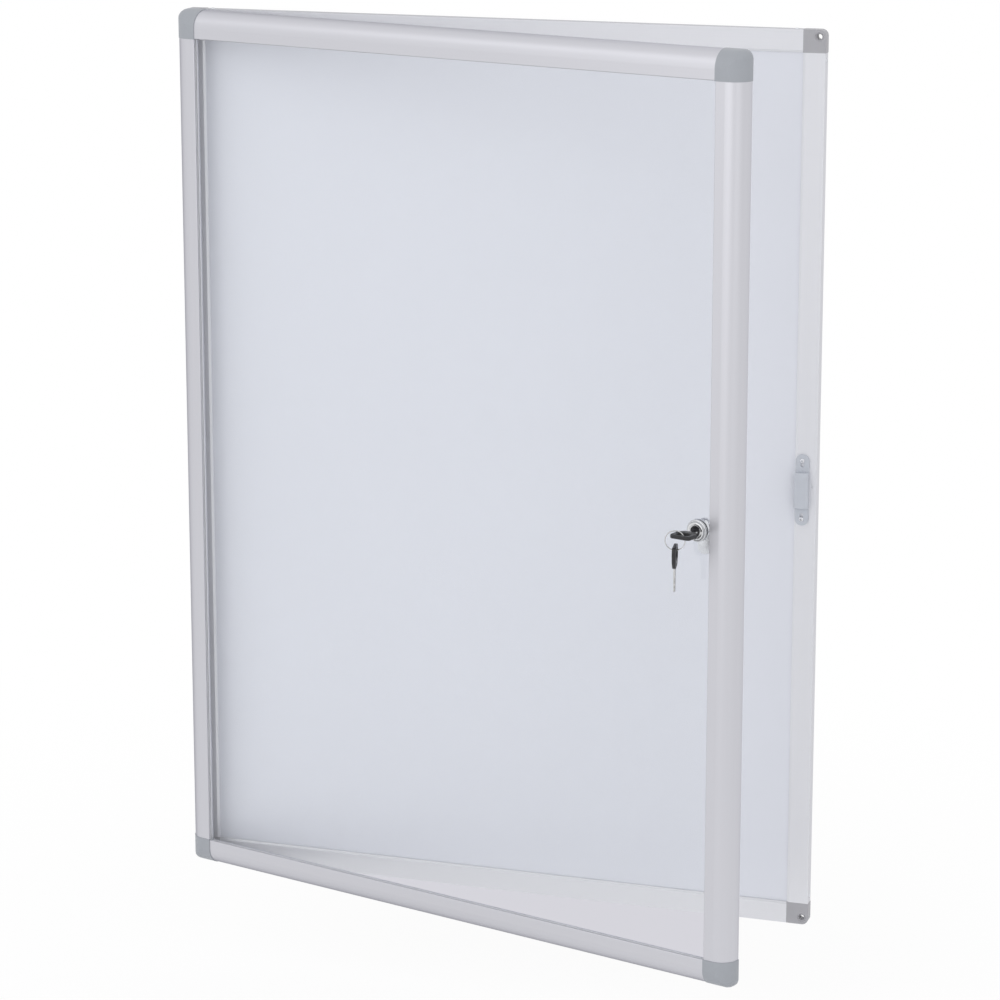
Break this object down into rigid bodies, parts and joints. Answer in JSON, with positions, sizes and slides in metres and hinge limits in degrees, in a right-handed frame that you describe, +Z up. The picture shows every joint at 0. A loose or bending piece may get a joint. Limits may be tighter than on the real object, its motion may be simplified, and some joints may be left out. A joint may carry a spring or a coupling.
{
  "type": "lockable notice board",
  "caption": "Wall-mounted lockable notice board: white magnetic panel in a slim aluminium frame, hinged glazed door with rounded rails, cam lock, strike and keys on a ring.",
  "frame": {"origin": "middle of the back on the wall plane, in the middle of the wall screw holes", "axes": "+X from the hinge side to the lock side, +Y into the wall, +Z up"},
  "size_m": [0.7228, 0.2523, 0.9818],
  "materials": {
    "anodised_aluminium": "satin anodised",
    "grey_plastic": "fine moulded texture",
    "white_lacquer": "smooth lacquer",
    "board_core": "raw",
    "clear_acrylic": "clear",
    "seal_rubber": "matt",
    "zinc_screw": "bright zinc",
    "lock_chrome": "polished",
    "cam_steel": "zinc plated",
    "wafer_brass": "stamped",
    "key_steel": "nickel plated",
    "key_plastic": "moulded"
  },
  "bodies": {
    "base": {"base_hinge_stile": "anodised_aluminium", "base_lock_stile": "anodised_aluminium", "base_top_rail": "anodised_aluminium", "base_bottom_rail": "anodised_aluminium", "base_cap_top_left": "grey_plastic", "base_cap_bottom_left": "grey_plastic", "base_cap_bottom_right": "grey_plastic", "base_cap_top_right": "grey_plastic", "base_cap_screws": "zinc_screw", "magnetic_panel": "white_lacquer", "backing_board": "board_core", "strike_box": "grey_plastic", "strike_screws": "zinc_screw"},
    "door": {"door_hinge_stile": "anodised_aluminium", "door_lock_stile": "anodised_aluminium", "door_top_rail": "anodised_aluminium", "door_bottom_rail": "anodised_aluminium", "door_cap_top_left": "grey_plastic", "door_cap_bottom_left": "grey_plastic", "door_cap_bottom_right": "grey_plastic", "door_cap_top_right": "grey_plastic", "glazing_seal_left": "seal_rubber", "glazing_seal_right": "seal_rubber", "glazing_seal_top": "seal_rubber", "glazing_seal_bottom": "seal_rubber", "window_pane": "clear_acrylic", "lock_housing": "lock_chrome", "lock_ring": "lock_chrome", "lock_washer": "zinc_screw", "lock_nut": "zinc_screw"},
    "plug": {"lock_plug": "lock_chrome", "lock_wafers": "wafer_brass", "lock_cam": "cam_steel", "cam_screw": "zinc_screw"},
    "key": {"key_blade": "key_steel", "key_bow": "key_plastic"},
    "ring": {"split_ring": "key_steel"},
    "spare_key": {"spare_key_blade": "key_steel", "spare_key_bow": "key_plastic"}
  },
  "joints": [
    {"name": "door_hinge", "type": "hinge", "parent": "base", "child": "door", "pos_m": [-0.356, -0.01225, 0], "axis": [0, 0, -1], "range_deg": [-16, 86]},
    {"name": "lock_turn", "type": "hinge", "parent": "door", "child": "plug", "pos_m": [0.28203, -0.2197, 0], "axis": [-0.2756, -0.9613, 0], "range_deg": [0, 90]},
    {"name": "key_withdraw", "type": "slide", "parent": "plug", "child": "key", "axis": [-0.2756, -0.9613, 0], "range_m": [0, 0.018]},
    {"name": "ring_hang", "type": "hinge", "parent": "key", "child": "ring", "pos_m": [0.26677, -0.24029, 0], "axis": [-0.2756, -0.9613, 0], "range_deg": [-95, 5]},
    {"name": "spare_key_swing", "type": "hinge", "parent": "ring", "child": "spare_key", "pos_m": [0.26677, -0.24029, -0.01588], "axis": [-0.9877, -0.1564, 0], "range_deg": [-25, 25]}
  ],
  "couplings": [
    {"joint": "ring_hang", "follows": "lock_turn", "ratio": -1}
  ]
}
